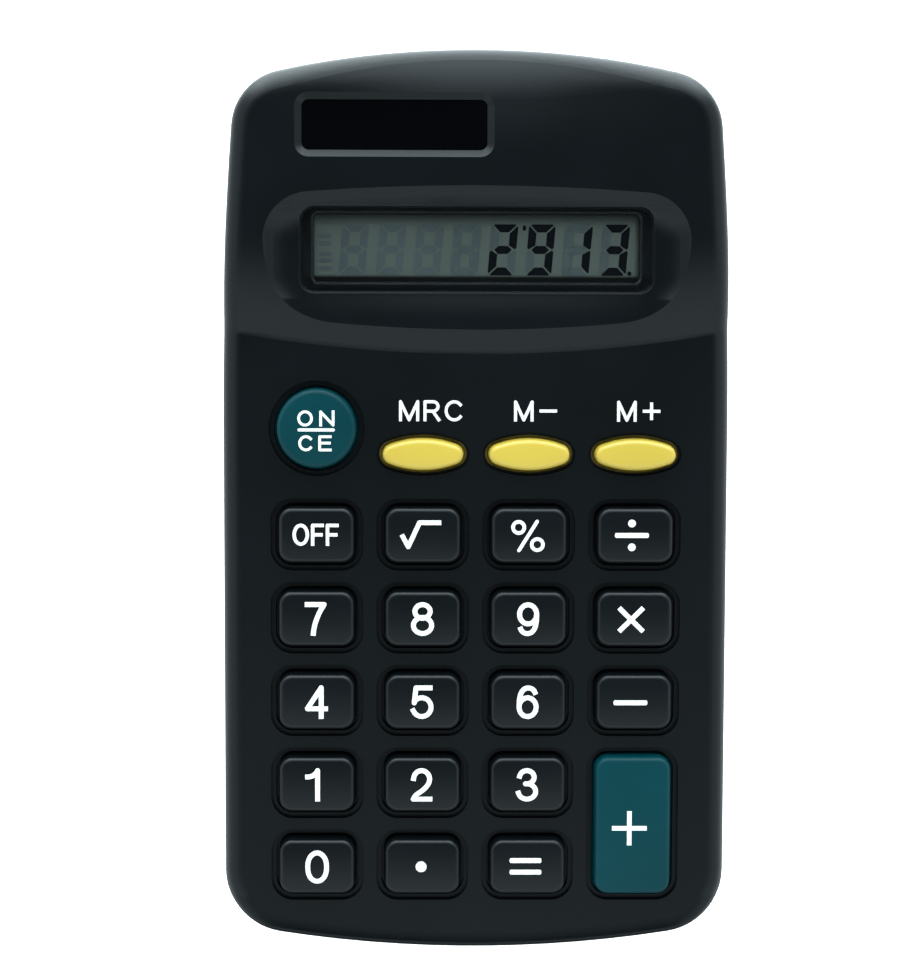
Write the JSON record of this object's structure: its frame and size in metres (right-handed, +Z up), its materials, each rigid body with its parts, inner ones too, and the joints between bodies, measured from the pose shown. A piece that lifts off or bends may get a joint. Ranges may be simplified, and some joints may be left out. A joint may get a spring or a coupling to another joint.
{
  "type": "desk calculator",
  "caption": "Wedge-shaped desk calculator with a raised display head, solar strip, sprung keys over a dome mat and a sliding battery cover behind.",
  "frame": {"origin": "on the desk under the middle of the case", "axes": "+X to the user's right, +Y away from the user towards the display, +Z up from the desk"},
  "size_m": [0.065, 0.1166, 0.0197],
  "materials": {
    "case_plastic": "fine moulded texture",
    "clear_window": "clear, polished",
    "display_glass": "polished",
    "polariser": "satin film",
    "reflector_film": "satin film",
    "zebra_rubber": "soft",
    "solar_glass": "polished, dark",
    "silicone": "soft",
    "carbon_rubber": "matt",
    "board_laminate": "lacquered",
    "epoxy": "glossy drop",
    "component_body": "moulded",
    "screw_steel": "bright zinc",
    "cell_jacket": "printed sleeve, no lettering",
    "contact_plate": "nickel plated",
    "lead_sleeve": "flexible sleeve",
    "key_black": "satin",
    "key_green": "satin",
    "key_yellow": "satin"
  },
  "bodies": {
    "case": {"front_case": "case_plastic", "rear_case": "case_plastic", "lcd_window": "clear_window", "lcd_glass": "display_glass", "lcd_front_polariser": "polariser", "lcd_reflector": "reflector_film", "zebra_strip": "zebra_rubber", "solar_cell": "solar_glass", "key_mat": "silicone", "contact_pills": "carbon_rubber", "circuit_board": "board_laminate", "chip_cover": "epoxy", "board_parts": "component_body", "board_screws": "screw_steel", "case_screws": "screw_steel", "battery": "cell_jacket", "battery_plus_contact": "contact_plate", "battery_minus_contact": "contact_plate", "battery_spring": "contact_plate", "battery_leads": "lead_sleeve"},
    "battery_cover": {"battery_cover": "case_plastic"},
    "key_on_ce": {"key_on_ce": "key_green"},
    "key_mrc": {"key_mrc": "key_yellow"},
    "key_m_minus": {"key_m_minus": "key_yellow"},
    "key_m_plus": {"key_m_plus": "key_yellow"},
    "key_off": {"key_off": "key_black"},
    "key_root": {"key_root": "key_black"},
    "key_percent": {"key_percent": "key_black"},
    "key_divide": {"key_divide": "key_black"},
    "key_7": {"key_7": "key_black"},
    "key_8": {"key_8": "key_black"},
    "key_9": {"key_9": "key_black"},
    "key_times": {"key_times": "key_black"},
    "key_4": {"key_4": "key_black"},
    "key_5": {"key_5": "key_black"},
    "key_6": {"key_6": "key_black"},
    "key_minus": {"key_minus": "key_black"},
    "key_1": {"key_1": "key_black"},
    "key_2": {"key_2": "key_black"},
    "key_3": {"key_3": "key_black"},
    "key_0": {"key_0": "key_black"},
    "key_point": {"key_point": "key_black"},
    "key_equals": {"key_equals": "key_black"},
    "key_plus": {"key_plus": "key_green"}
  },
  "joints": [
    {"name": "key_on_ce_press", "type": "slide", "parent": "case", "child": "key_on_ce", "axis": [0, 0.061, -0.9981], "range_m": [0, 0.001], "stiffness_N_per_m": 600, "deforming": ["key_mat", "contact_pills"]},
    {"name": "key_mrc_press", "type": "slide", "parent": "case", "child": "key_mrc", "axis": [0, 0.061, -0.9981], "range_m": [0, 0.001], "stiffness_N_per_m": 600, "deforming": ["key_mat", "contact_pills"]},
    {"name": "key_m_minus_press", "type": "slide", "parent": "case", "child": "key_m_minus", "axis": [0, 0.061, -0.9981], "range_m": [0, 0.001], "stiffness_N_per_m": 600, "deforming": ["key_mat", "contact_pills"]},
    {"name": "key_m_plus_press", "type": "slide", "parent": "case", "child": "key_m_plus", "axis": [0, 0.061, -0.9981], "range_m": [0, 0.001], "stiffness_N_per_m": 600, "deforming": ["key_mat", "contact_pills"]},
    {"name": "key_off_press", "type": "slide", "parent": "case", "child": "key_off", "axis": [0, 0.061, -0.9981], "range_m": [0, 0.001], "stiffness_N_per_m": 600, "deforming": ["key_mat", "contact_pills"]},
    {"name": "key_root_press", "type": "slide", "parent": "case", "child": "key_root", "axis": [0, 0.061, -0.9981], "range_m": [0, 0.001], "stiffness_N_per_m": 600, "deforming": ["key_mat", "contact_pills"]},
    {"name": "key_percent_press", "type": "slide", "parent": "case", "child": "key_percent", "axis": [0, 0.061, -0.9981], "range_m": [0, 0.001], "stiffness_N_per_m": 600, "deforming": ["key_mat", "contact_pills"]},
    {"name": "key_divide_press", "type": "slide", "parent": "case", "child": "key_divide", "axis": [0, 0.061, -0.9981], "range_m": [0, 0.001], "stiffness_N_per_m": 600, "deforming": ["key_mat", "contact_pills"]},
    {"name": "key_7_press", "type": "slide", "parent": "case", "child": "key_7", "axis": [0, 0.061, -0.9981], "range_m": [0, 0.001], "stiffness_N_per_m": 600, "deforming": ["key_mat", "contact_pills"]},
    {"name": "key_8_press", "type": "slide", "parent": "case", "child": "key_8", "axis": [0, 0.061, -0.9981], "range_m": [0, 0.001], "stiffness_N_per_m": 600, "deforming": ["key_mat", "contact_pills"]},
    {"name": "key_9_press", "type": "slide", "parent": "case", "child": "key_9", "axis": [0, 0.061, -0.9981], "range_m": [0, 0.001], "stiffness_N_per_m": 600, "deforming": ["key_mat", "contact_pills"]},
    {"name": "key_times_press", "type": "slide", "parent": "case", "child": "key_times", "axis": [0, 0.061, -0.9981], "range_m": [0, 0.001], "stiffness_N_per_m": 600, "deforming": ["key_mat", "contact_pills"]},
    {"name": "key_4_press", "type": "slide", "parent": "case", "child": "key_4", "axis": [0, 0.061, -0.9981], "range_m": [0, 0.001], "stiffness_N_per_m": 600, "deforming": ["key_mat", "contact_pills"]},
    {"name": "key_5_press", "type": "slide", "parent": "case", "child": "key_5", "axis": [0, 0.061, -0.9981], "range_m": [0, 0.001], "stiffness_N_per_m": 600, "deforming": ["key_mat", "contact_pills"]},
    {"name": "key_6_press", "type": "slide", "parent": "case", "child": "key_6", "axis": [0, 0.061, -0.9981], "range_m": [0, 0.001], "stiffness_N_per_m": 600, "deforming": ["key_mat", "contact_pills"]},
    {"name": "key_minus_press", "type": "slide", "parent": "case", "child": "key_minus", "axis": [0, 0.061, -0.9981], "range_m": [0, 0.001], "stiffness_N_per_m": 600, "deforming": ["key_mat", "contact_pills"]},
    {"name": "key_1_press", "type": "slide", "parent": "case", "child": "key_1", "axis": [0, 0.061, -0.9981], "range_m": [0, 0.001], "stiffness_N_per_m": 600, "deforming": ["key_mat", "contact_pills"]},
    {"name": "key_2_press", "type": "slide", "parent": "case", "child": "key_2", "axis": [0, 0.061, -0.9981], "range_m": [0, 0.001], "stiffness_N_per_m": 600, "deforming": ["key_mat", "contact_pills"]},
    {"name": "key_3_press", "type": "slide", "parent": "case", "child": "key_3", "axis": [0, 0.061, -0.9981], "range_m": [0, 0.001], "stiffness_N_per_m": 600, "deforming": ["key_mat", "contact_pills"]},
    {"name": "key_0_press", "type": "slide", "parent": "case", "child": "key_0", "axis": [0, 0.061, -0.9981], "range_m": [0, 0.001], "stiffness_N_per_m": 600, "deforming": ["key_mat", "contact_pills"]},
    {"name": "key_point_press", "type": "slide", "parent": "case", "child": "key_point", "axis": [0, 0.061, -0.9981], "range_m": [0, 0.001], "stiffness_N_per_m": 600, "deforming": ["key_mat", "contact_pills"]},
    {"name": "key_equals_press", "type": "slide", "parent": "case", "child": "key_equals", "axis": [0, 0.061, -0.9981], "range_m": [0, 0.001], "stiffness_N_per_m": 600, "deforming": ["key_mat", "contact_pills"]},
    {"name": "key_plus_press", "type": "slide", "parent": "case", "child": "key_plus", "axis": [0, 0.061, -0.9981], "range_m": [0, 0.001], "stiffness_N_per_m": 600, "deforming": ["key_mat", "contact_pills"]},
    {"name": "battery_cover_slide", "type": "slide", "parent": "case", "child": "battery_cover", "axis": [0, 1, 0], "range_m": [0, 0.025]}
  ]
}
